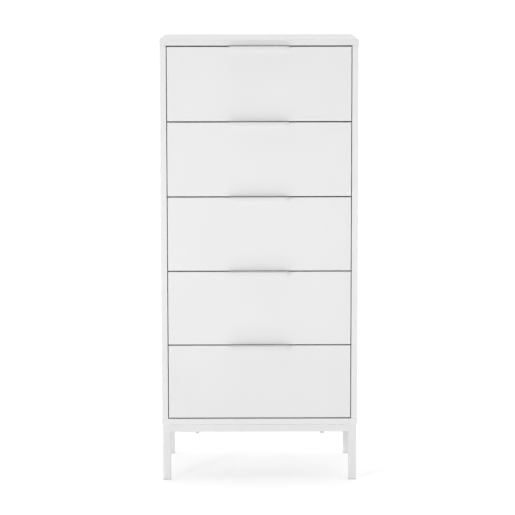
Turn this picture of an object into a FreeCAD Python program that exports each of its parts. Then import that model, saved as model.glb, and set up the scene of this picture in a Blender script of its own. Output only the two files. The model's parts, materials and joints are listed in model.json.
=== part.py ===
import FreeCAD, Part
import os

import Sketcher

# A tall chest of five inset drawers on a square tube base.
# Axes: X across the front, +Y towards the back, +Z up. The origin is on the floor, at the
# middle of the whole chest's footprint, handles included. Lengths are in millimetres.

DOCUMENT = FreeCAD.newDocument("tall_chest")
SHEET = DOCUMENT.addObject("Spreadsheet::Sheet", "Sizes")
NODES = []


class Size:
    """A length and the sheet formula that gives it, so that sums of sizes stay bound to the sheet."""

    def __init__(self, value, text):
        self.value = value
        self.text = text

    def __add__(self, other):
        other = as_size(other)
        return Size(self.value + other.value, f"({self.text} + {other.text})")

    def __sub__(self, other):
        other = as_size(other)
        return Size(self.value - other.value, f"({self.text} - {other.text})")

    def __mul__(self, other):
        other = as_size(other)
        return Size(self.value * other.value, f"({self.text} * {other.text})")

    def __truediv__(self, other):
        other = as_size(other)
        return Size(self.value / other.value, f"({self.text} / {other.text})")

    def __radd__(self, other):
        return as_size(other) + self

    def __rsub__(self, other):
        return as_size(other) - self

    def __rmul__(self, other):
        return as_size(other) * self

    def __neg__(self):
        return as_size(0) - self


def as_size(number):
    """A plain number is a size with no cell behind it."""
    if isinstance(number, Size):
        return number
    return Size(float(number), f"({float(number)})")


def cell(alias, value, note):
    """Writes one driving size to the sheet and returns it."""
    row = len(SHEET.getUsedCells()) // 3 + 1
    SHEET.set(f"A{row}", alias)
    SHEET.set(f"B{row}", str(value))
    SHEET.set(f"C{row}", note)
    SHEET.setAlias(f"B{row}", alias)
    return Size(float(value), f"Sizes.{alias}")


# ---------------------------------------------------------------- driving sizes

cabinet_width = cell("cabinet_width", 500, "top and bottom boards, across the front")
cabinet_depth = cell("cabinet_depth", 400, "drawer faces to the back edge")
overall_height = cell("overall_height", 1127, "floor to the top")
base_height = cell("base_height", 145, "floor to the underside of the bottom board")
board_thickness = cell("board_thickness", 15, "top, bottom and side boards")
side_inset = cell("side_inset", 1, "side panels behind the ends of the top and bottom boards")
edge_round = cell("edge_round", 1, "rounding of the visible board edges")

back_thickness = cell("back_thickness", 3, "back panel")
back_inset = cell("back_inset", 12, "back panel to the rear edges of the boards")
back_groove_depth = cell("back_groove_depth", 6, "groove that holds the back panel")
groove_clearance = cell("groove_clearance", 0.2, "groove width over the panel in it")
groove_end_clearance = cell("groove_end_clearance", 0.5, "panel edge to the floor of its groove")

drawer_gap = cell("drawer_gap", 3, "height of the gap above and below each drawer front")
drawer_side_gap = cell("drawer_side_gap", 2, "gap beside each drawer front")
front_thickness = cell("front_thickness", 15, "drawer fronts")
box_side_thickness = cell("box_side_thickness", 12, "drawer box sides and back")
box_bottom_thickness = cell("box_bottom_thickness", 3, "drawer bottoms")
box_lift = cell("box_lift", 14, "bottom edge of the front to the bottom edge of the box")
box_drop = cell("box_drop", 34, "top edge of the front to the top edge of the box")
box_rear_clearance = cell("box_rear_clearance", 16, "drawer box to the back panel")
box_groove_lift = cell("box_groove_lift", 8, "bottom edge of the box to the drawer bottom")
box_groove_depth = cell("box_groove_depth", 5, "groove that holds the drawer bottom")

handle_width = cell("handle_width", 150, "handle along the top edge of the front")
handle_lip_width = cell("handle_lip_width", 124, "lower edge of the handle's lip")
handle_projection = cell("handle_projection", 19, "drawer face to the front of the lip")
handle_lip_height = cell("handle_lip_height", 9, "lip, from the top of the plate down")
handle_flange_height = cell("handle_flange_height", 22, "flange behind the front")
handle_sheet = cell("handle_sheet", 1.5, "sheet steel of the handle")
handle_bend = cell("handle_bend", 2.5, "outer radius of the bend at the lip")
handle_rear_bend = cell("handle_rear_bend", 1.2, "outer radius of the bend at the flange")
handle_corner = cell("handle_corner", 3, "rounding of the lip's lower corners")
handle_screw_spread = cell("handle_screw_spread", 50, "handle screws to the middle")

tube_size = cell("tube_size", 20, "square tube of the base")
tube_wall = cell("tube_wall", 1.5, "wall of the tube")
tube_corner = cell("tube_corner", 2.5, "outer corner radius of the tube")
frame_side_inset = cell("frame_side_inset", 2.5, "base behind the ends of the bottom board")
frame_front_inset = cell("frame_front_inset", 3, "base behind the drawer faces")
frame_rear_inset = cell("frame_rear_inset", 67, "base in front of the cabinet's back edge")
foot_height = cell("foot_height", 3, "part of a foot cap below its tube")
foot_plug_height = cell("foot_plug_height", 14, "part of a foot cap inside its tube")
foot_clearance = cell("foot_clearance", 0.15, "foot plug to the wall of its tube")

bolt_radius = cell("bolt_radius", 3, "shanks of the bolts that hold the base")
bolt_clearance = cell("bolt_clearance", 0.3, "bolt shank to the wall of its hole")
bolt_grip = cell("bolt_grip", 10, "bolt's depth in the bottom board")
bolt_head_radius = cell("bolt_head_radius", 5, "bolt heads")
bolt_head_height = cell("bolt_head_height", 5, "bolt heads")
rail_bolt_spread = cell("rail_bolt_spread", 160, "bolts in the cross rails to the middle")
side_bolt_spread = cell("side_bolt_spread", 90, "bolts in the leg frames to their middle")
hole_end_clearance = cell("hole_end_clearance", 0.5, "tip of a screw or bolt to the end of its hole")

runner_space = cell("runner_space", 12.7, "drawer box to the side panel")
runner_setback = cell("runner_setback", 2, "ends of a runner to the ends of the drawer box")
runner_lift = cell("runner_lift", 45, "bottom edge of the box to the middle of its runner")
runner_sheet = cell("runner_sheet", 1.2, "sheet steel of the runners")
outer_height = cell("outer_height", 45, "cabinet member of a runner")
outer_width = cell("outer_width", 9, "cabinet member, out from the side panel")
outer_lip = cell("outer_lip", 3, "lips of the cabinet member, inside its flanges")
member_clearance = cell("member_clearance", 0.8, "edge of a runner member to the face of the next")
middle_web_gap = cell("middle_web_gap", 5, "side panel to the middle member's web")
middle_edge_gap = cell("middle_edge_gap", 1.7, "edges of the middle member to the side panel and the box")
middle_setback = cell("middle_setback", 3, "ends of the middle member inside the other two")
ball_space = cell("ball_space", 2.9, "flanges of the middle member to those of the drawer member")

screw_radius = cell("screw_radius", 1.6, "shanks of the wood screws")
screw_length = cell("screw_length", 10, "shanks of the wood screws")
screw_head_radius = cell("screw_head_radius", 3.3, "heads of the wood screws")
screw_head_height = cell("screw_head_height", 1.8, "heads of the wood screws")
screw_clearance = cell("screw_clearance", 0.1, "screw shank to the wood around it")
screw_hole_clearance = cell("screw_hole_clearance", 0.5, "screw shank to the steel around it")
runner_screw_inset = cell("runner_screw_inset", 35, "outer runner screws to the runner's ends")

cam_radius = cell("cam_radius", 7.5, "cams that draw the boards together")
cam_cover = cell("cam_cover", 2.5, "wood left outside a cam")
cam_inset = cell("cam_inset", 34, "end of a side panel to the middle of a cam")
cam_clearance = cell("cam_clearance", 0.15, "cam and its bolt to the wood around them")
cam_bolt_radius = cell("cam_bolt_radius", 3.5, "cam bolt inside the side panel")
cam_thread_radius = cell("cam_thread_radius", 2.5, "cam bolt inside the top or bottom board")
cam_thread_length = cell("cam_thread_length", 9, "cam bolt inside the top or bottom board")
cam_front_inset = cell("cam_front_inset", 50, "front cams to the front edge")
cam_rear_inset = cell("cam_rear_inset", 60, "rear cams to the back edge")

bracket_width = cell("bracket_width", 40, "wall bracket")
bracket_height = cell("bracket_height", 24, "wall bracket, down from the top board")
bracket_sheet = cell("bracket_sheet", 2, "sheet steel of the wall bracket")
bracket_back_clearance = cell("bracket_back_clearance", 0.5, "wall bracket to the back panel")
bracket_hole_radius = cell("bracket_hole_radius", 3, "hole for the wall strap")
bracket_screw_spread = cell("bracket_screw_spread", 12, "bracket screws to its middle")

DRAWER_COUNT = 5
DOCUMENT.recompute()

# ---------------------------------------------------------------- sizes that follow

depth_with_handles = cabinet_depth + handle_projection
front_y = handle_projection - depth_with_handles / 2
carcass_width = cabinet_width - 2 * side_inset
opening_width = carcass_width - 2 * board_thickness
side_height = overall_height - base_height - 2 * board_thickness
side_bottom_z = base_height + board_thickness
back_groove_y = cabinet_depth - back_inset - back_thickness - groove_clearance / 2
back_groove_width = back_thickness + groove_clearance
back_tongue = back_groove_depth - groove_end_clearance
back_width = opening_width + 2 * back_tongue

front_width = opening_width - 2 * drawer_side_gap
front_height = (side_height - (DRAWER_COUNT + 1) * drawer_gap) / DRAWER_COUNT
box_height = front_height - box_lift - box_drop
box_width = opening_width - 2 * runner_space
box_depth = cabinet_depth - front_thickness - back_inset - back_thickness - box_rear_clearance
box_inner_width = box_width - 2 * box_side_thickness
box_groove_width = box_bottom_thickness + groove_clearance
box_tongue = box_groove_depth - groove_end_clearance
box_bottom_width = box_inner_width + 2 * box_tongue

frame_width = cabinet_width - 2 * frame_side_inset
frame_depth = cabinet_depth - frame_front_inset - frame_rear_inset
frame_y = front_y + frame_front_inset
bolt_hole_radius = bolt_radius + bolt_clearance

runner_length = box_depth - 2 * runner_setback
runner_y = front_y + front_thickness + runner_setback
middle_height = outer_height - 2 * (runner_sheet + outer_lip + member_clearance)
inner_height = middle_height - 2 * (runner_sheet + ball_space)
inner_width = runner_space - middle_web_gap - runner_sheet - member_clearance
screw_pilot_radius = screw_radius + screw_clearance
screw_hole_radius = screw_radius + screw_hole_clearance
cam_length = board_thickness - cam_cover
LEFT, RIGHT = -1, 1
SIDES = (("left", LEFT), ("right", RIGHT))


# ---------------------------------------------------------------- building blocks


def bind(thing, property_name, size):
    """Sets a property of an object from a size, by a formula on the sheet."""
    thing.setExpression(property_name, as_size(size).text)


def place(thing, x, y, z):
    bind(thing, "Placement.Base.x", x)
    bind(thing, "Placement.Base.y", y)
    bind(thing, "Placement.Base.z", z)


def node(thing, label):
    """Names a finished sub-part. Its label is its file's name."""
    thing.Label = label
    NODES.append(thing)


def new_body(label, x, y, z):
    """An empty body whose own origin is at x, y, z."""
    body = DOCUMENT.addObject("PartDesign::Body", label)
    body.AllowCompound = True
    place(body, x, y, z)
    node(body, label)
    return body


def new_sketch(body, name, plane, offset):
    """An empty sketch parallel to one of the body's origin planes, offset along its normal.

    The normals are +Z for XY_Plane, -Y for XZ_Plane and +X for YZ_Plane.
    """
    drawing = body.newObject("Sketcher::SketchObject", name)
    plane_feature = next(f for f in body.Origin.OriginFeatures if f.Role == plane)
    drawing.AttachmentSupport = [(plane_feature, "")]
    drawing.MapMode = "FlatFace"
    bind(drawing, "AttachmentOffset.Base.z", offset)
    return drawing


def pin(drawing, shape, vertex, u, v):
    """Fixes one point of a sketch at u, v."""
    for kind, size in (("DistanceX", as_size(u)), ("DistanceY", as_size(v))):
        constraint = Sketcher.Constraint(kind, -1, 1, shape, vertex, size.value)
        index = drawing.addConstraint(constraint)
        bind(drawing, f"Constraints[{index}]", size)


def draw_polygon(drawing, corners):
    """Adds a closed outline through the corners."""
    points = [FreeCAD.Vector(as_size(u).value, as_size(v).value, 0) for u, v in corners]
    lines = []
    for start, end in zip(points, points[1:] + points[:1]):
        lines.append(drawing.addGeometry(Part.LineSegment(start, end), False))
    for line, following in zip(lines, lines[1:] + lines[:1]):
        drawing.addConstraint(Sketcher.Constraint("Coincident", line, 2, following, 1))
    for line, (u, v) in zip(lines, corners):
        pin(drawing, line, 1, u, v)


def draw_rectangle(drawing, u, v, width, height):
    draw_polygon(drawing, [(u, v), (u + width, v), (u + width, v + height), (u, v + height)])


def draw_circle(drawing, u, v, radius):
    centre = FreeCAD.Vector(as_size(u).value, as_size(v).value, 0)
    circle = Part.Circle(centre, FreeCAD.Vector(0, 0, 1), radius.value)
    shape = drawing.addGeometry(circle, False)
    pin(drawing, shape, 3, u, v)
    index = drawing.addConstraint(Sketcher.Constraint("Radius", shape, radius.value))
    bind(drawing, f"Constraints[{index}]", radius)


def pad(body, drawing, length, forward=True):
    """Pads a sketch along its plane's normal, or against it."""
    feature = body.newObject("PartDesign::Pad", f"{drawing.Name}_pad")
    feature.Profile = drawing
    feature.Reversed = not forward
    bind(feature, "Length", length)
    drawing.Visibility = False


def pocket(body, drawing, depth, forward):
    """Cuts a sketch out of the body, along its plane's normal or against it."""
    feature = body.newObject("PartDesign::Pocket", f"{drawing.Name}_pocket")
    feature.Profile = drawing
    feature.Reversed = forward
    bind(feature, "Length", depth)
    drawing.Visibility = False


def round_edges(body, name, radius, chosen):
    """Rounds the edges of the body so far whose bounding boxes are chosen."""
    DOCUMENT.recompute()
    base = body.Tip
    edges = [f"Edge{i}" for i, e in enumerate(base.Shape.Edges, 1) if chosen(e.BoundBox)]
    feature = body.newObject("PartDesign::Fillet", name)
    feature.Base = (base, edges)
    bind(feature, "Radius", radius)


def near(first, second):
    tolerance = 1e-4
    return abs(first - as_size(second).value) < tolerance


def lies_at(low, high, place_of_plane):
    """Whether a box's extent along one axis is a single plane at the place given."""
    return near(low, place_of_plane) and near(high, place_of_plane)


def cylinder(name, radius, length, start, direction):
    """A rod from the start point along a direction."""
    rod = DOCUMENT.addObject("Part::Cylinder", name)
    rod.Placement.Rotation = FreeCAD.Rotation(FreeCAD.Vector(0, 0, 1), direction)
    bind(rod, "Radius", radius)
    bind(rod, "Height", length)
    place(rod, *start)
    return rod


def domed_head(name, radius, height, seat, direction):
    """A screw head that narrows away from its seat."""
    crown = 0.7
    head = DOCUMENT.addObject("Part::Cone", name)
    head.Placement.Rotation = FreeCAD.Rotation(FreeCAD.Vector(0, 0, 1), direction)
    bind(head, "Radius1", radius)
    bind(head, "Radius2", crown * radius)
    bind(head, "Height", height)
    place(head, *seat)
    return head


def screw(name, seat, direction):
    """A wood screw: its head's seat is at a point, and its shank runs in a direction."""
    shank = cylinder(f"{name}_shank", screw_radius, screw_length, seat, direction)
    head = domed_head(f"{name}_head", screw_head_radius, screw_head_height, seat, -direction)
    return [shank, head]


def group(label, pieces):
    """One sub-part of separate solids, each fused from the pieces that touch."""
    fused = DOCUMENT.addObject("Part::MultiFuse", label)
    fused.Shapes = pieces
    node(fused, label)


TO_RIGHT = FreeCAD.Vector(1, 0, 0)
TO_BACK = FreeCAD.Vector(0, 1, 0)
UP = FreeCAD.Vector(0, 0, 1)


# ---------------------------------------------------------------- cabinet


def cam_places():
    """Distances of the cams from the front edge."""
    return (cam_front_inset, cabinet_depth - cam_rear_inset)


def runner_screw_places():
    """Distances of a runner's screws from its front end."""
    return (runner_screw_inset, runner_length / 2, runner_length - runner_screw_inset)


def front_bottom_z(number):
    """Bottom edge of a drawer front. Drawer 1 is the top one."""
    return overall_height - board_thickness - number * (drawer_gap + front_height)


def runner_z(number):
    return front_bottom_z(number) + box_lift + runner_lift


def bolt_places():
    """x and y of the bolts that hold the base to the bottom board."""
    front_rail_y = frame_y + tube_size / 2
    rear_rail_y = frame_y + frame_depth - tube_size / 2
    frame_middle_y = frame_y + frame_depth / 2
    frame_x = frame_width / 2 - tube_size / 2
    places = [(side * rail_bolt_spread, y) for side in (LEFT, RIGHT) for y in (front_rail_y, rear_rail_y)]
    for side in (LEFT, RIGHT):
        for end in (LEFT, RIGHT):
            places.append((side * frame_x, frame_middle_y + end * side_bolt_spread))
    return places


def horizontal_board(label, z, inner_face, into_board):
    """The top or bottom board. Its inner face holds the back panel and the cam bolts."""
    body = new_body(label, -cabinet_width / 2, front_y, z)
    outline = new_sketch(body, f"{label}_outline", "XY_Plane", 0)
    draw_rectangle(outline, as_size(0), as_size(0), cabinet_width, cabinet_depth)
    pad(body, outline, board_thickness)

    groove = new_sketch(body, f"{label}_groove", "XY_Plane", inner_face)
    groove_length = opening_width + 2 * back_groove_depth
    groove_x = (cabinet_width - groove_length) / 2
    draw_rectangle(groove, groove_x, back_groove_y, groove_length, back_groove_width)
    pocket(body, groove, back_groove_depth, into_board)

    holes = new_sketch(body, f"{label}_cam_holes", "XY_Plane", inner_face)
    side_middle = side_inset + board_thickness / 2
    for x in (side_middle, cabinet_width - side_middle):
        for y in cam_places():
            draw_circle(holes, x, y, cam_thread_radius + cam_clearance)
    pocket(body, holes, cam_thread_length + hole_end_clearance, into_board)
    return body


def outside_edges(box):
    """Edges around the front, left, right and back faces of a horizontal board."""
    outer_x = lies_at(box.XMin, box.XMax, 0) or lies_at(box.XMin, box.XMax, cabinet_width)
    outer_y = lies_at(box.YMin, box.YMax, 0) or lies_at(box.YMin, box.YMax, cabinet_depth)
    return outer_x or outer_y


def make_top_board():
    board = horizontal_board("top_board", overall_height - board_thickness, 0, True)
    holes = new_sketch(board, "top_board_bracket_holes", "XY_Plane", 0)
    for side in (LEFT, RIGHT):
        x = cabinet_width / 2 + side * bracket_screw_spread
        draw_circle(holes, x, bracket_screw_y() - front_y, screw_pilot_radius)
    pocket(board, holes, screw_length - bracket_sheet + hole_end_clearance, True)
    round_edges(board, "top_board_rounding", edge_round, outside_edges)


def make_bottom_board():
    board = horizontal_board("bottom_board", base_height, board_thickness, False)
    holes = new_sketch(board, "bottom_board_bolt_holes", "XY_Plane", 0)
    for x, y in bolt_places():
        draw_circle(holes, x + cabinet_width / 2, y - front_y, bolt_hole_radius)
    pocket(board, holes, bolt_grip + hole_end_clearance, True)
    round_edges(board, "bottom_board_rounding", edge_round, outside_edges)


def make_side_panel(name, side):
    """A side panel. Its inner face holds the back panel, the cams and the runner screws."""
    label = f"{name}_side_panel"
    outer_x = side * carcass_width / 2
    left_x = outer_x if side == LEFT else outer_x - board_thickness
    inner_face = board_thickness if side == LEFT else 0
    into_panel = side == RIGHT
    body = new_body(label, left_x, front_y, side_bottom_z)
    outline = new_sketch(body, f"{label}_outline", "XY_Plane", 0)
    draw_rectangle(outline, as_size(0), as_size(0), board_thickness, cabinet_depth)
    pad(body, outline, side_height)

    groove = new_sketch(body, f"{label}_groove", "YZ_Plane", inner_face)
    draw_rectangle(groove, back_groove_y, as_size(0), back_groove_width, side_height)
    pocket(body, groove, back_groove_depth, into_panel)

    cams = new_sketch(body, f"{label}_cam_bores", "YZ_Plane", inner_face)
    for y in cam_places():
        for z in (cam_inset, side_height - cam_inset):
            draw_circle(cams, y, z, cam_radius + cam_clearance)
    pocket(body, cams, cam_length + cam_clearance, into_panel)

    for end, z, upward in (("lower", as_size(0), True), ("upper", side_height, False)):
        bolts = new_sketch(body, f"{label}_{end}_bolt_holes", "XY_Plane", z)
        for y in cam_places():
            draw_circle(bolts, board_thickness / 2, y, cam_bolt_radius + cam_clearance)
        pocket(body, bolts, cam_inset, upward)

    pilots = new_sketch(body, f"{label}_runner_pilots", "YZ_Plane", inner_face)
    for number in range(1, DRAWER_COUNT + 1):
        z = runner_z(number) - side_bottom_z
        for y in runner_screw_places():
            draw_circle(pilots, runner_y - front_y + y, z, screw_pilot_radius)
    pocket(body, pilots, screw_length - runner_sheet + hole_end_clearance, into_panel)

    def seen_edges(box):
        """Edges around the front face, and along the ends of the outer face."""
        outer_face = 0 if side == LEFT else board_thickness
        at_an_end = near(box.ZMin, box.ZMax) and (near(box.ZMin, 0) or near(box.ZMin, side_height))
        along_an_end = lies_at(box.XMin, box.XMax, outer_face) and at_an_end
        return lies_at(box.YMin, box.YMax, 0) or along_an_end

    round_edges(body, f"{label}_rounding", edge_round, seen_edges)


def make_back_panel():
    label = "back_panel"
    y = front_y + cabinet_depth - back_inset - back_thickness
    body = new_body(label, -back_width / 2, y, side_bottom_z - back_tongue)
    outline = new_sketch(body, f"{label}_outline", "XY_Plane", 0)
    draw_rectangle(outline, as_size(0), as_size(0), back_width, back_thickness)
    pad(body, outline, side_height + 2 * back_tongue)


def make_cam_fittings():
    """Cams in the side panels, each joined with the bolt that it draws in."""
    pieces = []
    top_z = overall_height - board_thickness
    for name, side in SIDES:
        inner_x = side * opening_width / 2
        bolt_x = side * (opening_width / 2 + board_thickness / 2)
        for end, face_z, inward in (("lower", side_bottom_z, 1), ("upper", top_z, -1)):
            for index, y in enumerate(cam_places(), 1):
                piece = f"cam_{name}_{end}_{index}"
                cam_z = face_z + inward * cam_inset
                row_y = front_y + y
                cam = cylinder(piece, cam_radius, cam_length, (inner_x, row_y, cam_z), side * TO_RIGHT)
                toward_board = -inward * UP
                start = (bolt_x, row_y, cam_z)
                bolt = cylinder(f"{piece}_bolt", cam_bolt_radius, cam_inset, start, toward_board)
                face = (bolt_x, row_y, face_z)
                thread = cylinder(
                    f"{piece}_thread", cam_thread_radius, cam_thread_length, face, toward_board
                )
                pieces += [cam, bolt, thread]
    group("cam_fittings", pieces)


# ---------------------------------------------------------------- base


def make_leg_frame(name, side):
    """Two legs and the rail between their tops, welded from square tube."""
    label = f"{name}_leg_frame"
    left_x = side * frame_width / 2 if side == LEFT else frame_width / 2 - tube_size
    body = new_body(label, left_x, frame_y, 0)

    def draw_frame(drawing, inset):
        """The frame's outline seen from its side, drawn in from the tube's surfaces."""
        front = as_size(0) + inset
        back = frame_depth - inset
        top = base_height - inset
        leg_front = tube_size - inset
        leg_back = frame_depth - tube_size + inset
        rail_bottom = base_height - tube_size + inset
        corners = [(front, foot_height), (front, top), (back, top), (back, foot_height)]
        corners += [(leg_back, foot_height), (leg_back, rail_bottom)]
        corners += [(leg_front, rail_bottom), (leg_front, foot_height)]
        draw_polygon(drawing, corners)

    outside = new_sketch(body, f"{label}_outside", "YZ_Plane", 0)
    draw_frame(outside, 0)
    pad(body, outside, tube_size)

    inside = new_sketch(body, f"{label}_inside", "YZ_Plane", tube_wall)
    draw_frame(inside, tube_wall)
    pocket(body, inside, tube_size - 2 * tube_wall, True)

    holes = new_sketch(body, f"{label}_bolt_holes", "XY_Plane", base_height)
    for end in (LEFT, RIGHT):
        draw_circle(holes, tube_size / 2, frame_depth / 2 + end * side_bolt_spread, bolt_hole_radius)
    pocket(body, holes, tube_size, False)

    def tube_edges(box):
        on_a_side = lies_at(box.XMin, box.XMax, 0) or lies_at(box.XMin, box.XMax, tube_size)
        return on_a_side and not lies_at(box.ZMin, box.ZMax, foot_height)

    round_edges(body, f"{label}_rounding", tube_corner, tube_edges)


def make_cross_rail(label, y):
    """A tube between the two leg frames, under the front or the back of the cabinet."""
    length = frame_width - 2 * tube_size
    body = new_body(label, -length / 2, y, base_height - tube_size)
    section = new_sketch(body, f"{label}_section", "YZ_Plane", 0)
    draw_rectangle(section, as_size(0), as_size(0), tube_size, tube_size)
    bore = tube_size - 2 * tube_wall
    draw_rectangle(section, tube_wall, tube_wall, bore, bore)
    pad(body, section, length)

    holes = new_sketch(body, f"{label}_bolt_holes", "XY_Plane", tube_size)
    for side in (LEFT, RIGHT):
        draw_circle(holes, length / 2 + side * rail_bolt_spread, tube_size / 2, bolt_hole_radius)
    pocket(body, holes, tube_size, False)

    def tube_edges(box):
        outer_y = lies_at(box.YMin, box.YMax, 0) or lies_at(box.YMin, box.YMax, tube_size)
        return outer_y and near(box.XLength, length)

    round_edges(body, f"{label}_rounding", tube_corner, tube_edges)


def make_foot_caps():
    """Caps that close the lower ends of the legs and stand on the floor."""
    label = "foot_caps"
    body = new_body(label, -frame_width / 2, frame_y, 0)
    across = (as_size(0), frame_width - tube_size)
    along = (as_size(0), frame_depth - tube_size)
    corners = [(x, y) for x in across for y in along]
    soles = new_sketch(body, f"{label}_soles", "XY_Plane", 0)
    for x, y in corners:
        draw_rectangle(soles, x, y, tube_size, tube_size)
    pad(body, soles, foot_height)

    def upright_edges(box):
        return near(box.XLength, 0) and near(box.YLength, 0)

    round_edges(body, f"{label}_rounding", tube_corner, upright_edges)

    plugs = new_sketch(body, f"{label}_plugs", "XY_Plane", foot_height)
    inset = tube_wall + foot_clearance
    for x, y in corners:
        draw_rectangle(plugs, x + inset, y + inset, tube_size - 2 * inset, tube_size - 2 * inset)
    pad(body, plugs, foot_plug_height)


def make_frame_bolts():
    """Bolts that pass up through the tubes into the bottom board."""
    pieces = []
    for index, (x, y) in enumerate(bolt_places(), 1):
        seat = (x, y, base_height - tube_size)
        name = f"frame_bolt_{index}"
        pieces.append(cylinder(f"{name}_shank", bolt_radius, tube_size + bolt_grip, seat, UP))
        pieces.append(cylinder(f"{name}_head", bolt_head_radius, bolt_head_height, seat, -UP))
    group("frame_bolts", pieces)


# ---------------------------------------------------------------- wall bracket


def bracket_inner_y():
    """Front edge of the wall bracket, just behind the back panel."""
    return front_y + cabinet_depth - back_inset + bracket_back_clearance


def bracket_screw_y():
    return (bracket_inner_y() + front_y + cabinet_depth - bracket_sheet) / 2


def make_wall_bracket():
    """An angle under the top board, with a hole for the strap that ties the chest to a wall."""
    label = "wall_bracket"
    top_z = overall_height - board_thickness
    depth = back_inset - bracket_back_clearance
    body = new_body(label, -bracket_width / 2, bracket_inner_y(), top_z - bracket_height)
    profile = new_sketch(body, f"{label}_profile", "YZ_Plane", 0)
    corners = [(depth - bracket_sheet, 0), (depth, 0), (depth, bracket_height), (0, bracket_height)]
    corners += [(0, bracket_height - bracket_sheet)]
    corners += [(depth - bracket_sheet, bracket_height - bracket_sheet)]
    draw_polygon(profile, corners)
    pad(body, profile, bracket_width)

    strap_hole = new_sketch(body, f"{label}_strap_hole", "XZ_Plane", -depth)
    draw_circle(strap_hole, bracket_width / 2, (bracket_height - bracket_sheet) / 2, bracket_hole_radius)
    pocket(body, strap_hole, bracket_sheet, True)

    screw_holes = new_sketch(body, f"{label}_screw_holes", "XY_Plane", bracket_height)
    for side in (LEFT, RIGHT):
        x = bracket_width / 2 + side * bracket_screw_spread
        draw_circle(screw_holes, x, bracket_screw_y() - bracket_inner_y(), screw_hole_radius)
    pocket(body, screw_holes, bracket_sheet, False)


# ---------------------------------------------------------------- runners

# Across a runner, distances are measured from the side panel towards the drawer box.


def runner_band(side, near_gap, far_gap):
    """Lower x and width of a band between two distances from the side panel."""
    low = opening_width / 2 - far_gap
    return (low if side == RIGHT else -(opening_width / 2 - near_gap)), far_gap - near_gap


def make_cabinet_runners():
    """The channels screwed to the side panels, two for each drawer."""
    label = "cabinet_runners"
    body = new_body(label, 0, runner_y, 0)
    lip_height = outer_height / 2 - runner_sheet - outer_lip
    bands = (
        ("outside", 0, outer_width, outer_height / 2),
        ("cavity", runner_sheet, outer_width - runner_sheet, outer_height / 2 - runner_sheet),
        ("mouth", outer_width - runner_sheet, outer_width, lip_height),
    )
    for part, near_gap, far_gap, half_height in bands:
        section = new_sketch(body, f"{label}_{part}", "XZ_Plane", 0)
        for name, side in SIDES:
            x, width = runner_band(side, as_size(near_gap), as_size(far_gap))
            for number in range(1, DRAWER_COUNT + 1):
                z = runner_z(number) - half_height
                draw_rectangle(section, x, z, width, 2 * half_height)
        if part == "outside":
            pad(body, section, runner_length, False)
        else:
            pocket(body, section, runner_length, False)

    for name, side in SIDES:
        holes = new_sketch(body, f"{label}_{name}_holes", "YZ_Plane", side * opening_width / 2)
        for number in range(1, DRAWER_COUNT + 1):
            for y in runner_screw_places():
                draw_circle(holes, y, runner_z(number), screw_hole_radius)
        pocket(body, holes, runner_sheet, side == LEFT)


def make_cabinet_screws():
    """Screws that hold the cabinet members of the runners and the wall bracket."""
    pieces = []
    for name, side in SIDES:
        seat_x = side * (opening_width / 2 - runner_sheet)
        for number in range(1, DRAWER_COUNT + 1):
            for index, y in enumerate(runner_screw_places(), 1):
                seat = (seat_x, runner_y + y, runner_z(number))
                pieces += screw(f"cabinet_screw_{name}_{number}_{index}", seat, side * TO_RIGHT)
        seat_z = overall_height - board_thickness - bracket_sheet
        seat = (side * bracket_screw_spread, bracket_screw_y(), seat_z)
        pieces += screw(f"bracket_screw_{name}", seat, UP)
    group("cabinet_screws", pieces)


def make_middle_runners(number):
    """The pair of members that slide between the cabinet's and the drawer's, at half its travel."""
    label = f"drawer_{number}_runner_middles"
    body = new_body(label, 0, runner_y + middle_setback, runner_z(number))
    length = runner_length - 2 * middle_setback
    web_end = middle_web_gap + runner_sheet
    edge = runner_space - middle_edge_gap
    inner_half = middle_height / 2 - runner_sheet
    outside = new_sketch(body, f"{label}_outside", "XZ_Plane", 0)
    cavities = new_sketch(body, f"{label}_cavities", "XZ_Plane", 0)
    for name, side in SIDES:
        x, width = runner_band(side, middle_edge_gap + runner_sheet, edge)
        draw_rectangle(outside, x, -middle_height / 2, width, middle_height)
        x, width = runner_band(side, middle_edge_gap + runner_sheet, middle_web_gap)
        draw_rectangle(cavities, x, -inner_half, width, 2 * inner_half)
        x, width = runner_band(side, web_end, edge)
        draw_rectangle(cavities, x, -inner_half, width, 2 * inner_half)
    pad(body, outside, length, False)
    pocket(body, cavities, length, False)


def make_drawer_runners(number):
    """The pair of channels screwed to the drawer box."""
    label = f"drawer_{number}_runner_inners"
    body = new_body(label, 0, runner_y, runner_z(number))
    near_gap = runner_space - inner_width
    outside = new_sketch(body, f"{label}_outside", "XZ_Plane", 0)
    cavities = new_sketch(body, f"{label}_cavities", "XZ_Plane", 0)
    inner_half = inner_height / 2 - runner_sheet
    for name, side in SIDES:
        x, width = runner_band(side, near_gap, runner_space)
        draw_rectangle(outside, x, -inner_height / 2, width, inner_height)
        x, width = runner_band(side, near_gap, runner_space - runner_sheet)
        draw_rectangle(cavities, x, -inner_half, width, 2 * inner_half)
    pad(body, outside, runner_length, False)
    pocket(body, cavities, runner_length, False)

    for name, side in SIDES:
        holes = new_sketch(body, f"{label}_{name}_holes", "YZ_Plane", side * box_width / 2)
        for y in runner_screw_places():
            draw_circle(holes, y, 0, screw_hole_radius)
        pocket(body, holes, runner_sheet, side == RIGHT)


# ---------------------------------------------------------------- drawers


def handle_screw_drop():
    """Top edge of the front to the handle screws, at the middle of the flange."""
    return handle_flange_height / 2


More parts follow.
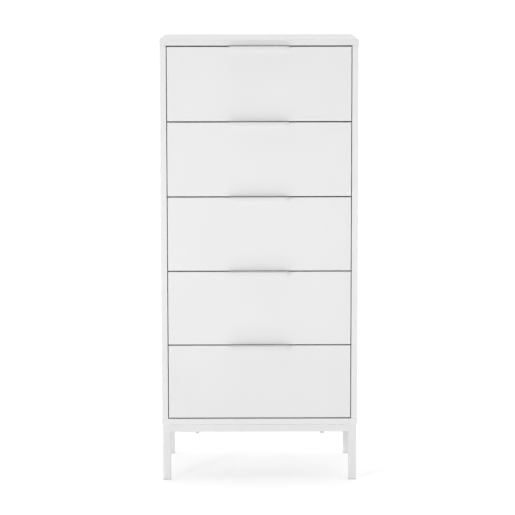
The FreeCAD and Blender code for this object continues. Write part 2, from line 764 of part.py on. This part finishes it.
def make_drawer_front(number):
    label = f"drawer_{number}_front"
    body = new_body(label, -front_width / 2, front_y, front_bottom_z(number))
    outline = new_sketch(body, f"{label}_outline", "XZ_Plane", 0)
    draw_rectangle(outline, as_size(0), as_size(0), front_width, front_height)
    pad(body, outline, front_thickness, False)

    groove = new_sketch(body, f"{label}_groove", "XZ_Plane", -front_thickness)
    groove_length = box_inner_width + 2 * box_groove_depth
    groove_x = (front_width - groove_length) / 2
    draw_rectangle(groove, groove_x, box_lift + box_groove_lift, groove_length, box_groove_width)
    pocket(body, groove, box_groove_depth, True)

    pilots = new_sketch(body, f"{label}_pilots", "XZ_Plane", -front_thickness)
    for side in (LEFT, RIGHT):
        x = front_width / 2 + side * handle_screw_spread
        draw_circle(pilots, x, front_height - handle_screw_drop(), screw_pilot_radius)
    pocket(body, pilots, screw_length - handle_sheet + hole_end_clearance, True)

    def face_edges(box):
        return lies_at(box.YMin, box.YMax, 0)

    round_edges(body, f"{label}_rounding", edge_round, face_edges)


def make_drawer_side(number, name, side):
    """A side of the drawer box, grooved inside for the bottom and drilled outside for the runner."""
    label = f"drawer_{number}_{name}_side"
    outer_x = side * box_width / 2
    left_x = outer_x if side == LEFT else outer_x - box_side_thickness
    bottom_z = front_bottom_z(number) + box_lift
    body = new_body(label, left_x, front_y + front_thickness, bottom_z)
    outline = new_sketch(body, f"{label}_outline", "XY_Plane", 0)
    draw_rectangle(outline, as_size(0), as_size(0), box_side_thickness, box_depth)
    pad(body, outline, box_height)

    inner_face = box_side_thickness if side == LEFT else 0
    groove = new_sketch(body, f"{label}_groove", "YZ_Plane", inner_face)
    draw_rectangle(groove, as_size(0), box_groove_lift, box_depth, box_groove_width)
    pocket(body, groove, box_groove_depth, side == RIGHT)

    outer_face = 0 if side == LEFT else box_side_thickness
    pilots = new_sketch(body, f"{label}_pilots", "YZ_Plane", outer_face)
    for y in runner_screw_places():
        draw_circle(pilots, runner_setback + y, runner_lift, screw_pilot_radius)
    pocket(body, pilots, screw_length - runner_sheet + hole_end_clearance, side == LEFT)


def make_drawer_back(number):
    """The back of the drawer box, standing on the rear edge of the bottom."""
    label = f"drawer_{number}_back"
    y = front_y + front_thickness + box_depth - box_side_thickness
    foot = box_groove_lift + box_groove_width
    body = new_body(label, -box_inner_width / 2, y, front_bottom_z(number) + box_lift + foot)
    outline = new_sketch(body, f"{label}_outline", "XY_Plane", 0)
    draw_rectangle(outline, as_size(0), as_size(0), box_inner_width, box_side_thickness)
    pad(body, outline, box_height - foot)


def make_drawer_bottom(number):
    """The bottom panel, in the grooves of the sides and the front."""
    label = f"drawer_{number}_bottom"
    y = front_y + front_thickness - box_tongue
    z = front_bottom_z(number) + box_lift + box_groove_lift + groove_clearance / 2
    body = new_body(label, -box_bottom_width / 2, y, z)
    outline = new_sketch(body, f"{label}_outline", "XY_Plane", 0)
    draw_rectangle(outline, as_size(0), as_size(0), box_bottom_width, box_depth + box_tongue)
    pad(body, outline, box_bottom_thickness)


def make_handle(number):
    """A bent steel pull: a flange behind the front, a plate over its top edge and a lip in front."""
    label = f"drawer_{number}_handle"
    top_z = front_bottom_z(number) + front_height
    body = new_body(label, -handle_width / 2, front_y, top_z)
    lip_front = -handle_projection
    lip_bottom = handle_sheet - handle_lip_height
    flange_back = front_thickness + handle_sheet
    profile = new_sketch(body, f"{label}_profile", "YZ_Plane", 0)
    corners = [(lip_front, handle_sheet), (lip_front, lip_bottom)]
    corners += [(lip_front + handle_sheet, lip_bottom), (lip_front + handle_sheet, 0)]
    corners += [(front_thickness, 0), (front_thickness, -handle_flange_height)]
    corners += [(flange_back, -handle_flange_height), (flange_back, handle_sheet)]
    draw_polygon(profile, corners)
    pad(body, profile, handle_width)

    margin = 1
    trim = new_sketch(body, f"{label}_lip_ends", "XZ_Plane", 0)
    slant = (handle_width - handle_lip_width) / 2
    below = lip_bottom - margin
    left_end = [(0, handle_sheet), (slant, lip_bottom), (slant, below)]
    left_end += [(-margin, below), (-margin, handle_sheet)]
    draw_polygon(trim, left_end)
    draw_polygon(trim, [(handle_width - u, v) for u, v in left_end])
    pocket(body, trim, handle_projection + margin, True)

    holes = new_sketch(body, f"{label}_screw_holes", "XZ_Plane", -flange_back)
    for side in (LEFT, RIGHT):
        x = handle_width / 2 + side * handle_screw_spread
        draw_circle(holes, x, -handle_screw_drop(), screw_hole_radius)
    pocket(body, holes, handle_sheet, True)

    def lip_corners(box):
        return near(box.YLength, handle_sheet) and lies_at(box.ZMin, box.ZMax, lip_bottom)

    def outer_bend(box):
        return lies_at(box.YMin, box.YMax, lip_front) and lies_at(box.ZMin, box.ZMax, handle_sheet)

    def inner_bend(box):
        return lies_at(box.YMin, box.YMax, lip_front + handle_sheet) and lies_at(box.ZMin, box.ZMax, 0)

    def rear_bend(box):
        return lies_at(box.YMin, box.YMax, flange_back) and lies_at(box.ZMin, box.ZMax, handle_sheet)

    round_edges(body, f"{label}_lip_corners", handle_corner, lip_corners)
    round_edges(body, f"{label}_outer_bend", handle_bend, outer_bend)
    round_edges(body, f"{label}_inner_bend", handle_bend - handle_sheet, inner_bend)
    round_edges(body, f"{label}_rear_bend", handle_rear_bend, rear_bend)


def make_drawer_screws(number):
    """Screws that hold the handle and the drawer members of the runners."""
    pieces = []
    top_z = front_bottom_z(number) + front_height
    for name, side in SIDES:
        seat_y = front_y + front_thickness + handle_sheet
        seat = (side * handle_screw_spread, seat_y, top_z - handle_screw_drop())
        pieces += screw(f"drawer_{number}_handle_screw_{name}", seat, -TO_BACK)
        seat_x = side * (box_width / 2 + runner_sheet)
        for index, y in enumerate(runner_screw_places(), 1):
            seat = (seat_x, runner_y + y, runner_z(number))
            pieces += screw(f"drawer_{number}_runner_screw_{name}_{index}", seat, -side * TO_RIGHT)
    group(f"drawer_{number}_screws", pieces)


# ---------------------------------------------------------------- the whole chest


def check_document():
    """Stops if anything failed to build, or if a cut removed nothing."""
    for thing in DOCUMENT.Objects:
        if "Invalid" in thing.State or "Error" in thing.State:
            raise RuntimeError(f"{thing.Name} failed: {thing.State}")
        if thing.TypeId == "PartDesign::Pocket" and thing.Shape.Volume >= thing.BaseFeature.Shape.Volume:
            raise RuntimeError(f"{thing.Name} cuts nothing")
    for thing in NODES:
        if thing.Shape.isNull() or not thing.Shape.isValid() or not thing.Shape.Solids:
            raise RuntimeError(f"{thing.Label} has no valid solid")


def main():
    make_top_board()
    make_bottom_board()
    for name, side in SIDES:
        make_side_panel(name, side)
        make_leg_frame(name, side)
    make_back_panel()
    make_cam_fittings()
    make_cross_rail("front_rail", frame_y)
    make_cross_rail("rear_rail", frame_y + frame_depth - tube_size)
    make_foot_caps()
    make_frame_bolts()
    make_wall_bracket()
    make_cabinet_runners()
    make_cabinet_screws()
    for number in range(1, DRAWER_COUNT + 1):
        make_drawer_front(number)
        for name, side in SIDES:
            make_drawer_side(number, name, side)
        make_drawer_back(number)
        make_drawer_bottom(number)
        make_handle(number)
        make_drawer_screws(number)
        make_drawer_runners(number)
        make_middle_runners(number)
    DOCUMENT.recompute()
    check_document()
    os.makedirs("parts", exist_ok=True)
    for thing in NODES:
        thing.Shape.exportStep(os.path.join("parts", f"{thing.Label}.step"))
    print(f"{len(NODES)} sub-parts written")


main()
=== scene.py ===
import json
import math

import bmesh
import bpy
from mathutils import Matrix, Vector


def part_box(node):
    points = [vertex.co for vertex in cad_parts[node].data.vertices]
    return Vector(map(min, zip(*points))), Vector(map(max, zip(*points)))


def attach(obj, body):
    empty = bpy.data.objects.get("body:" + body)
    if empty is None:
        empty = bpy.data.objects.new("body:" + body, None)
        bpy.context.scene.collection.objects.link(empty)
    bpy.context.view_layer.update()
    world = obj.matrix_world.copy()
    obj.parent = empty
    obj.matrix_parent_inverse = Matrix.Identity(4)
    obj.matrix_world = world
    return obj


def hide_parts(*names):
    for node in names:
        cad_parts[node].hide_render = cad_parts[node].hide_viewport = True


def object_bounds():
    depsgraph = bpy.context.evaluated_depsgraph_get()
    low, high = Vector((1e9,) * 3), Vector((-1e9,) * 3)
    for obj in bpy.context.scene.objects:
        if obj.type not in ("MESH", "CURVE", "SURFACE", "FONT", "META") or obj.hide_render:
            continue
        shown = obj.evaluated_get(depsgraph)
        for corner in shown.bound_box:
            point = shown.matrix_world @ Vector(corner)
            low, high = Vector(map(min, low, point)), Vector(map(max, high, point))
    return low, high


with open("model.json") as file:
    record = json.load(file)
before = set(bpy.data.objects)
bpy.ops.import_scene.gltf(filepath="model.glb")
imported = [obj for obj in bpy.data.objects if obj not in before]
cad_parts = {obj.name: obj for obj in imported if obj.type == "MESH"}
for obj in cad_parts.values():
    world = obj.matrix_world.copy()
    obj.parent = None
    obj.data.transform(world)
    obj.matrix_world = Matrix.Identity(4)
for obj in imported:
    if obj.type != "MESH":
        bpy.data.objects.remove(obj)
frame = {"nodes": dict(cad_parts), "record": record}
CAD_LOW, CAD_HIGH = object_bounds()

MM = 0.001
DRAWERS = range(1, 6)
ROOT = "cabinet"
FRONT_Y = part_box("drawer_1_front")[0].y

# The studio: brightness behind the chest and in front of it, and the floor's own glow.
WALL_LIGHT, FRONT_LIGHT = 1.04, 0.25
FLOOR_GLOW = 0.275

# The stretch of a texture's values over which a colour or roughness changes.
TEXTURE_LOW, TEXTURE_HIGH = 0.3, 0.7

# Points round a turned piece, and the sharpest bend that is still shaded smooth.
SPOKES = 24
CREASE = math.radians(35)


# ---------------------------------------------------------------- node helpers


class Shader:
    """One node material, built around a Principled shader."""

    def __init__(self, name, color, roughness, metallic=0.0, specular=0.5):
        self.material = bpy.data.materials.new(name)
        self.material.use_nodes = True
        self.nodes = self.material.node_tree.nodes
        self.links = self.material.node_tree.links
        self.principled = self.nodes["Principled BSDF"]
        self.set("Base Color", (*color, 1.0))
        self.set("Roughness", roughness)
        self.set("Metallic", metallic)
        self.set("Specular IOR Level", specular)
        coordinates = self.nodes.new("ShaderNodeTexCoord")
        self.position = coordinates.outputs["Object"]

    def set(self, socket, value):
        self.principled.inputs[socket].default_value = value

    def stretched(self, scale):
        """The piece's position, stretched by a scale for each axis."""
        mapping = self.nodes.new("ShaderNodeMapping")
        mapping.inputs["Scale"].default_value = scale
        self.links.new(self.position, mapping.inputs["Vector"])
        return mapping.outputs["Vector"]

    def noise(self, scale, detail=2.0, roughness=0.5, vector=None):
        node = self.nodes.new("ShaderNodeTexNoise")
        node.inputs["Scale"].default_value = scale
        node.inputs["Detail"].default_value = detail
        node.inputs["Roughness"].default_value = roughness
        self.links.new(vector or self.position, node.inputs["Vector"])
        return node.outputs["Fac"]

    def cells(self, scale):
        node = self.nodes.new("ShaderNodeTexVoronoi")
        node.feature = "SMOOTH_F1"
        node.inputs["Scale"].default_value = scale
        self.links.new(self.position, node.inputs["Vector"])
        return node.outputs["Distance"]

    def color(self, texture, low, high):
        """Varies the base colour with a texture."""
        node = self.nodes.new("ShaderNodeValToRGB")
        ends = zip(node.color_ramp.elements, (TEXTURE_LOW, TEXTURE_HIGH), (low, high))
        for element, place, color in ends:
            element.position = place
            element.color = (*color, 1.0)
        self.links.new(texture, node.inputs["Fac"])
        self.links.new(node.outputs["Color"], self.principled.inputs["Base Color"])

    def roughness(self, texture, low, high):
        """Varies the roughness with a texture."""
        node = self.nodes.new("ShaderNodeMapRange")
        node.inputs["From Min"].default_value = TEXTURE_LOW
        node.inputs["From Max"].default_value = TEXTURE_HIGH
        node.inputs["To Min"].default_value = low
        node.inputs["To Max"].default_value = high
        self.links.new(texture, node.inputs["Value"])
        self.links.new(node.outputs["Result"], self.principled.inputs["Roughness"])

    def bump(self, texture, height):
        """Turns a texture into relief of a height."""
        node = self.nodes.new("ShaderNodeBump")
        node.inputs["Strength"].default_value = 1.0
        node.inputs["Distance"].default_value = height
        self.links.new(texture, node.inputs["Height"])
        self.links.new(node.outputs["Normal"], self.principled.inputs["Normal"])


def grey(value, warmth=0.0):
    """A neutral colour, a little warmer or cooler."""
    return (value + warmth, value, value - warmth)


# ---------------------------------------------------------------- materials


def lacquered_board(name, tone):
    """Satin white lacquer: broad faint mottling, a fine orange peel and handling marks in the gloss."""
    shader = Shader(name, grey(tone), 0.36)
    spread = 0.008
    broad = shader.noise(5.0, detail=3.0)
    shader.color(broad, grey(tone - spread, 0.001), grey(tone + spread, 0.001))
    marks = shader.noise(34.0, detail=4.0, roughness=0.6)
    shader.roughness(marks, 0.33, 0.42)
    shader.bump(shader.noise(650.0, detail=1.0), 0.012 * MM)
    return shader.material


def powder_coat(name, tone):
    """White powder coat on steel, with its even pebbled skin."""
    shader = Shader(name, grey(tone), 0.42)
    spread = 0.008
    shader.color(shader.noise(9.0, detail=2.0), grey(tone - spread), grey(tone + spread))
    shader.roughness(shader.noise(60.0, detail=3.0), 0.38, 0.47)
    shader.bump(shader.cells(1100.0), 0.03 * MM)
    return shader.material


def drawer_foil():
    """Matt white foil on the drawer boxes, embossed with a fine straight grain."""
    shader = Shader("drawer_foil", grey(0.74), 0.55)
    along = shader.stretched((260.0, 9.0, 260.0))
    grain = shader.noise(1.0, detail=4.0, roughness=0.6, vector=along)
    shader.color(grain, grey(0.72, 0.003), grey(0.755, 0.003))
    shader.roughness(grain, 0.48, 0.62)
    shader.bump(grain, 0.04 * MM)
    return shader.material


def fibreboard():
    """Thin fibreboard, printed matt white, with the fibres' flecks showing through."""
    shader = Shader("white_fibreboard", grey(0.72), 0.7)
    flecks = shader.noise(420.0, detail=5.0, roughness=0.7)
    shader.color(flecks, grey(0.69, 0.008), grey(0.735, 0.005))
    shader.roughness(shader.noise(7.0, detail=2.0), 0.62, 0.78)
    shader.bump(flecks, 0.05 * MM)
    return shader.material


def zinc_plate():
    """Bright zinc on rolled steel: fine drawn streaks along Y over a faint cloudiness."""
    shader = Shader("zinc_plate", grey(0.62, -0.01), 0.5, metallic=1.0)
    along = shader.stretched((1400.0, 22.0, 1400.0))
    streaks = shader.noise(1.0, detail=3.0, vector=along)
    shader.color(shader.noise(45.0, detail=3.0), grey(0.6, -0.01), grey(0.65, -0.008))
    shader.roughness(streaks, 0.46, 0.56)
    shader.bump(streaks, 0.004 * MM)
    return shader.material


def foot_plastic():
    """Milky moulded plastic with a fine sparked texture."""
    shader = Shader("foot_plastic", grey(0.6), 0.5)
    sparks = shader.noise(1300.0, detail=3.0)
    shader.color(sparks, grey(0.57), grey(0.63))
    shader.roughness(sparks, 0.42, 0.6)
    shader.bump(sparks, 0.05 * MM)
    return shader.material


def floor_paint():
    """A back-lit white sweep, bright enough to leave only a soft shadow."""
    shader = Shader("studio_floor", grey(0.845), 0.75, specular=0.2)
    shader.color(shader.noise(1.5, detail=3.0), grey(0.843), grey(0.847))
    shader.set("Emission Color", (1.0, 1.0, 1.0, 1.0))
    shader.set("Emission Strength", FLOOR_GLOW)
    return shader.material


def finish_cad_nodes():
    """Gives every CAD node the material of its slot in the record, and the top board a darker copy of
    the lacquer, as painted shade where the light falls off towards the top.
    """
    made = {
        "white_board": lacquered_board("white_lacquer", 0.76),
        "drawer_board": drawer_foil(),
        "white_fibreboard": fibreboard(),
        "white_steel": powder_coat("white_powder_coat", 0.75),
        "handle_steel": powder_coat("handle_powder_coat", 0.72),
        "zinc": zinc_plate(),
        "foot_plastic": foot_plastic(),
    }
    # The top board's darker copy of the white lacquer is painted shade for the light falling off
    # towards the top of the chest.
    own = {"top_board": lacquered_board("top_lacquer_painted_shade", 0.735)}
    for part in frame["record"]["subparts"]:
        node = frame["nodes"][part["node"]]
        node.data.materials.clear()
        node.data.materials.append(own.get(part["node"], made[part["material_slot"]]))
    return made


# ---------------------------------------------------------------- mesh helpers


def add_piece(name, body, slot, faces_of):
    """A mesh piece that rides on a body. faces_of(mesh) fills a bmesh."""
    mesh = bpy.data.meshes.new(name)
    working = bmesh.new()
    faces_of(working)
    bmesh.ops.recalc_face_normals(working, faces=working.faces)
    for face in working.faces:
        face.smooth = True
    for edge in working.edges:
        edge.smooth = edge.calc_face_angle(math.pi) < CREASE
    working.to_mesh(mesh)
    working.free()
    mesh.materials.append(MATERIALS[slot])
    piece = bpy.data.objects.new(name, mesh)
    bpy.context.scene.collection.objects.link(piece)
    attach(piece, body)
    return piece


def solids_of(node):
    """The separate solids of a CAD node, each as a list of its points."""
    working = bmesh.new()
    working.from_mesh(frame["nodes"][node].data)
    bmesh.ops.remove_doubles(working, verts=working.verts, dist=0.001 * MM)
    seen, solids = set(), []
    for start in working.verts:
        if start in seen:
            continue
        seen.add(start)
        solid = [start]
        for vertex in solid:
            for edge in vertex.link_edges:
                neighbour = edge.other_vert(vertex)
                if neighbour not in seen:
                    seen.add(neighbour)
                    solid.append(neighbour)
        solids.append([vertex.co.copy() for vertex in solid])
    working.free()
    return solids


def corners(points):
    """Lowest and highest corner of some points."""
    return Vector(map(min, *points)), Vector(map(max, *points))


def spoke_angle(step):
    """The direction of a step round a turned piece."""
    return math.radians(360 / SPOKES * (step - 1))


def ring(working, placing, radius, height):
    """A circle of vertices, or another outline if the radius is a function of the step."""
    made = []
    for step in range(SPOKES):
        angle = spoke_angle(step)
        spot = radius(step) if callable(radius) else radius
        if not isinstance(spot, Vector):
            spot = Vector((math.cos(angle), math.sin(angle), 0)) * spot
        made.append(working.verts.new(placing @ Vector((spot.x, spot.y, height))))
    return made


def skin(working, rings):
    """Closes rings into one solid, with a flat face at each end."""
    for low, high in zip(rings, rings[1:]):
        for i in range(SPOKES):
            j = (i + 1) % SPOKES
            working.faces.new((low[i], low[j], high[j], high[i]))
    working.faces.new(rings[0])
    working.faces.new(rings[-1])


def turned(working, placing, profile):
    """A closed solid round the Z axis of a placing, from pairs of a radius and a height."""
    skin(working, [ring(working, placing, radius, height) for radius, height in profile])


def cross(arm, width):
    """The outline of a cross recess, for ring(): arms along the axes."""
    inner = (arm + width) / 2
    outline = [(arm, -width), (arm, 0), (arm, width), (inner, width), (width, width), (width, inner)]

    def spot(step):
        quarter, place = divmod(step, SPOKES // 4)
        x, y = outline[place]
        for _ in range(quarter):
            x, y = -y, x
        return Vector((x, y, 0))

    return spot


def hexagon(apothem):
    """The outline of a hexagon socket, for ring()."""
    def reach(step):
        angle = spoke_angle(step) % math.radians(60)
        return apothem / math.cos(angle - math.radians(30))

    return reach


def facing(place, direction):
    """Moves the Z axis onto a direction, at a place."""
    return Matrix.Translation(place) @ direction.to_track_quat("Z", "Y").to_matrix().to_4x4()


# ---------------------------------------------------------------- screws and bolts


def read_fastener(points):
    """A screw's seat, the way its head faces, and the sizes of its head and shank."""
    rim_share, end_slack = 0.97, 0.1 * MM
    low, high = corners(points)
    size, middle = high - low, (low + high) / 2
    axis = max(range(3), key=lambda i: size[i])
    across = [i for i in range(3) if i != axis]

    def radius_of(point):
        return math.hypot(*(point[i] - middle[i] for i in across))

    head_radius = max(size[i] for i in across) / 2
    rim = [point[axis] for point in points if radius_of(point) > rim_share * head_radius]
    head_at_top = min(rim) > middle[axis]
    crown, tip = (high, low) if head_at_top else (low, high)
    shank_radius = max(radius_of(point) for point in points if abs(point[axis] - tip[axis]) < end_slack)
    direction = Vector((0, 0, 0))
    direction[axis] = 1 if head_at_top else -1
    seat = middle.copy()
    seat[axis] = min(rim) if head_at_top else max(rim)
    head_height, shank_length = abs(crown[axis] - seat[axis]), abs(seat[axis] - tip[axis])
    return seat, direction, head_radius, head_height, shank_radius, shank_length


def cross_head_screw(working, points):
    """A zinc wood screw with a domed head, a cross recess and a threaded shank."""
    seat, direction, radius, height, shank, length = read_fastener(points)
    turns = 7
    pitch = length / turns
    profile = [(0.3 * shank, -length)]
    for turn in range(turns):
        crest = -length + (turn + 0.5) * pitch
        reach = shank if turn else 0.7 * shank
        profile += [(reach, crest), (0.78 * reach, crest + 0.3 * pitch)]
    profile += [(0.85 * shank, 0), (radius, 0), (radius, 0.3 * height), (0.93 * radius, 0.62 * height)]
    profile += [(0.8 * radius, 0.86 * height), (0.66 * radius, height)]
    arm, width = 0.52 * radius, 0.1 * radius
    profile += [(cross(arm, width), height), (cross(0.6 * arm, 0.7 * width), 0.25 * height)]
    turned(working, facing(seat, direction), profile)


def socket_bolt(working, points):
    """A cap-head bolt with a hexagon socket, its edges broken."""
    seat, direction, radius, height, shank, length = read_fastener(points)
    bevel = 0.08 * radius
    profile = [(0.8 * shank, -length), (shank, -length + bevel), (shank, 0), (radius - bevel, 0)]
    profile += [(radius, bevel), (radius, height - bevel), (radius - bevel, height)]
    socket = hexagon(0.5 * radius)
    profile += [(0.66 * radius, height), (socket, 0.97 * height), (socket, 0.45 * height)]
    turned(working, facing(seat, direction), profile)


def detail_fasteners(node, body, draw):
    """Stands detailed screws, bolts or cams in place of a CAD node's plain ones."""
    def faces_of(working):
        for points in solids_of(node):
            draw(working, points)

    piece = add_piece(f"{node}_detail", body, "zinc", faces_of)
    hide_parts(node)


# ---------------------------------------------------------------- frame, cams and caps


def rounded_square(size, radius, steps=5):
    """The outline of a square tube, measured from its lower corner."""
    near, far = radius, size - radius
    outline = []
    for corner, (x, y) in enumerate(((far, far), (near, far), (near, near), (far, near))):
        for step in range(steps + 1):
            angle = math.radians(90 * (corner + step / steps))
            outline.append((x + radius * math.cos(angle), y + radius * math.sin(angle)))
    return outline


def prism(working, loops):
    """A closed solid between two outlines of the same length."""
    first, last = ([working.verts.new(point) for point in loop] for loop in loops)
    for i in range(len(first)):
        j = (i + 1) % len(first)
        working.faces.new((first[i], first[j], last[j], last[i]))
    working.faces.new(first)
    working.faces.new(last)


def make_rail_welds():
    """Ground-flush welds that carry each cross rail's section across the rounded corner of the legs."""
    corner = 2.5 * MM

    def faces_of(working):
        for node in ("front_rail", "rear_rail"):
            low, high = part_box(node)
            outline = rounded_square(high.z - low.z, corner)
            for ends in ((low.x, low.x - corner), (high.x, high.x + corner)):
                prism(working, [[(x, low.y + u, low.z + v) for u, v in outline] for x in ends])

    add_piece("rail_welds", ROOT, "white_steel", faces_of)


def draw_cam(working, points):
    """A cast cam with a cross recess and a chamfered rim, and the dowel that it draws in."""
    low, high = corners(points)
    inward = -1 if low.x > 0 else 1
    upward = 1 if low.z > (CAD_LOW.z + CAD_HIGH.z) / 2 else -1
    radius, depth = (high.y - low.y) / 2, high.x - low.x
    face_x = low.x if inward < 0 else high.x
    middle_y = (low.y + high.y) / 2
    middle_z = low.z + radius if upward > 0 else high.z - radius
    profile = [(radius, -depth), (radius, -0.06 * radius), (0.94 * radius, 0), (0.8 * radius, 0)]
    profile += [(0.78 * radius, -0.05 * radius), (0.62 * radius, -0.05 * radius)]
    profile += [(cross(0.5 * radius, 0.12 * radius), -0.05 * radius)]
    profile += [(cross(0.4 * radius, 0.09 * radius), -0.5 * radius)]
    turned(working, facing(Vector((face_x, middle_y, middle_z)), Vector((inward, 0, 0))), profile)

    shank, length = 0.36 * radius, high.z - low.z - radius
    profile = [(shank, 0.5 * radius), (shank, length - 0.1 * radius), (0.8 * shank, length)]
    cam_middle = Vector(((low.x + high.x) / 2, middle_y, middle_z))
    turned(working, facing(cam_middle, Vector((0, 0, upward))), profile)


def draw_cap(working, place, outward, radius):
    """A low plastic cap with a skirt sunk into the board."""
    height = 0.7 * MM
    profile = [(0.8 * radius, -2 * height), (radius, 0), (radius, 0.5 * height)]
    profile += [(0.85 * radius, 0.95 * height), (0.4 * radius, height)]
    turned(working, facing(place, Vector((outward, 0, 0))), profile)


def make_drawer_caps(number):
    """Plastic caps over the fittings that join a drawer box: at its front edge and along its back."""
    front_radius, rear_radius = 7.5 * MM, 5.0 * MM
    end_gap, front_setback, rear_setback = 24 * MM, 30 * MM, 6 * MM

    def faces_of(working):
        for side, outward in (("left", -1), ("right", 1)):
            low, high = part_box(f"drawer_{number}_{side}_side")
            x = high.x if outward > 0 else low.x
            levels = (low.z + 0.5 * end_gap, high.z - end_gap)
            rows = ((low.y + front_setback, front_radius), (high.y - rear_setback, rear_radius))
            for y, radius in rows:
                for z in levels:
                    draw_cap(working, Vector((x, y, z)), outward, radius)

    add_piece(f"drawer_{number}_caps", f"drawer_{number}", "foot_plastic", faces_of)


# ---------------------------------------------------------------- stage, lights and camera


def make_stage():
    """A pale floor, large enough to have no visible edge."""
    reach = 40.0
    mesh = bpy.data.meshes.new("floor")
    outline = [(-reach, -reach, 0), (reach, -reach, 0), (reach, reach, 0), (-reach, reach, 0)]
    mesh.from_pydata(outline, [], [(0, 1, 2, 3)])
    floor = bpy.data.objects.new("floor", mesh)
    bpy.context.scene.collection.objects.link(floor)
    mesh.materials.append(floor_paint())


def make_world():
    """White studio walls and ceiling behind and above the chest, and a dim room in front of it."""
    dim_until, white_from = -0.7, -0.15
    world = bpy.data.worlds.new("studio")
    world.use_nodes = True
    nodes, links = world.node_tree.nodes, world.node_tree.links
    split = nodes.new("ShaderNodeSeparateXYZ")
    links.new(nodes.new("ShaderNodeTexCoord").outputs["Generated"], split.inputs["Vector"])
    fade = nodes.new("ShaderNodeMapRange")
    fade.interpolation_type = "SMOOTHSTEP"
    fade.inputs["From Min"].default_value = dim_until
    fade.inputs["From Max"].default_value = white_from
    fade.inputs["To Min"].default_value = FRONT_LIGHT
    fade.inputs["To Max"].default_value = WALL_LIGHT
    links.new(split.outputs["Y"], fade.inputs["Value"])
    background = nodes["Background"]
    background.inputs["Color"].default_value = (1.0, 1.0, 1.0, 1.0)
    links.new(fade.outputs["Result"], background.inputs["Strength"])
    bpy.context.scene.world = world


def softbox(name, place, target, power, width, height, spread=180):
    """A rectangular studio light aimed at a point; a grid on it narrows its spread."""
    light = bpy.data.lights.new(name, "AREA")
    light.shape = "RECTANGLE"
    light.size = width
    light.size_y = height
    light.energy = power
    light.spread = math.radians(spread)
    lamp = bpy.data.objects.new(name, light)
    bpy.context.scene.collection.objects.link(lamp)
    lamp.location = place
    lamp.rotation_euler = (Vector(target) - Vector(place)).to_track_quat("-Z", "Y").to_euler()


def make_lights():
    """Two small gridded softboxes low in front of the chest, and a large one overhead."""
    front_middle = (0.0, FRONT_Y, 0.67)
    front_boxes = {"width": 0.45, "height": 0.5, "spread": 90}
    softbox("key_softbox", (-2.0, -3.2, 0.95), front_middle, power=9.1, **front_boxes)
    softbox("fill_softbox", (2.1, -3.1, 0.95), front_middle, power=4.3, **front_boxes)
    softbox("top_softbox", (0.0, 0.2, 3.6), (0.0, 0.1, 0.0), power=8.0, width=1.6, height=1.2)


def make_camera():
    """A long lens a little left of the middle, above the top board and looking slightly down."""
    distance, side, height = 5.625, -0.0375, 1.3245
    pitch, yaw, roll = math.radians(-7.313), math.radians(-0.333), math.radians(0.082)
    data = bpy.data.cameras.new("camera")
    data.lens = 156.4
    data.sensor_width = 36.0
    data.shift_y = -0.02
    data.dof.use_dof = False
    camera = bpy.data.objects.new("camera", data)
    bpy.context.scene.collection.objects.link(camera)
    camera.location = (side, FRONT_Y - distance, height)
    turn = Matrix.Rotation(yaw, 4, "Z") @ Matrix.Rotation(pitch, 4, "X") @ Matrix.Rotation(roll, 4, "Y")
    camera.rotation_euler = (turn @ Matrix.Rotation(math.radians(90), 4, "X")).to_euler()
    bpy.context.scene.camera = camera
    bpy.context.scene.view_settings.view_transform = "Standard"


make_camera()
make_stage()
make_world()
make_lights()
MATERIALS = finish_cad_nodes()
detail_fasteners("cabinet_screws", ROOT, cross_head_screw)
detail_fasteners("frame_bolts", ROOT, socket_bolt)
detail_fasteners("cam_fittings", ROOT, draw_cam)
make_rail_welds()
for number in DRAWERS:
    make_drawer_caps(number)
    detail_fasteners(f"drawer_{number}_screws", f"drawer_{number}", cross_head_screw)
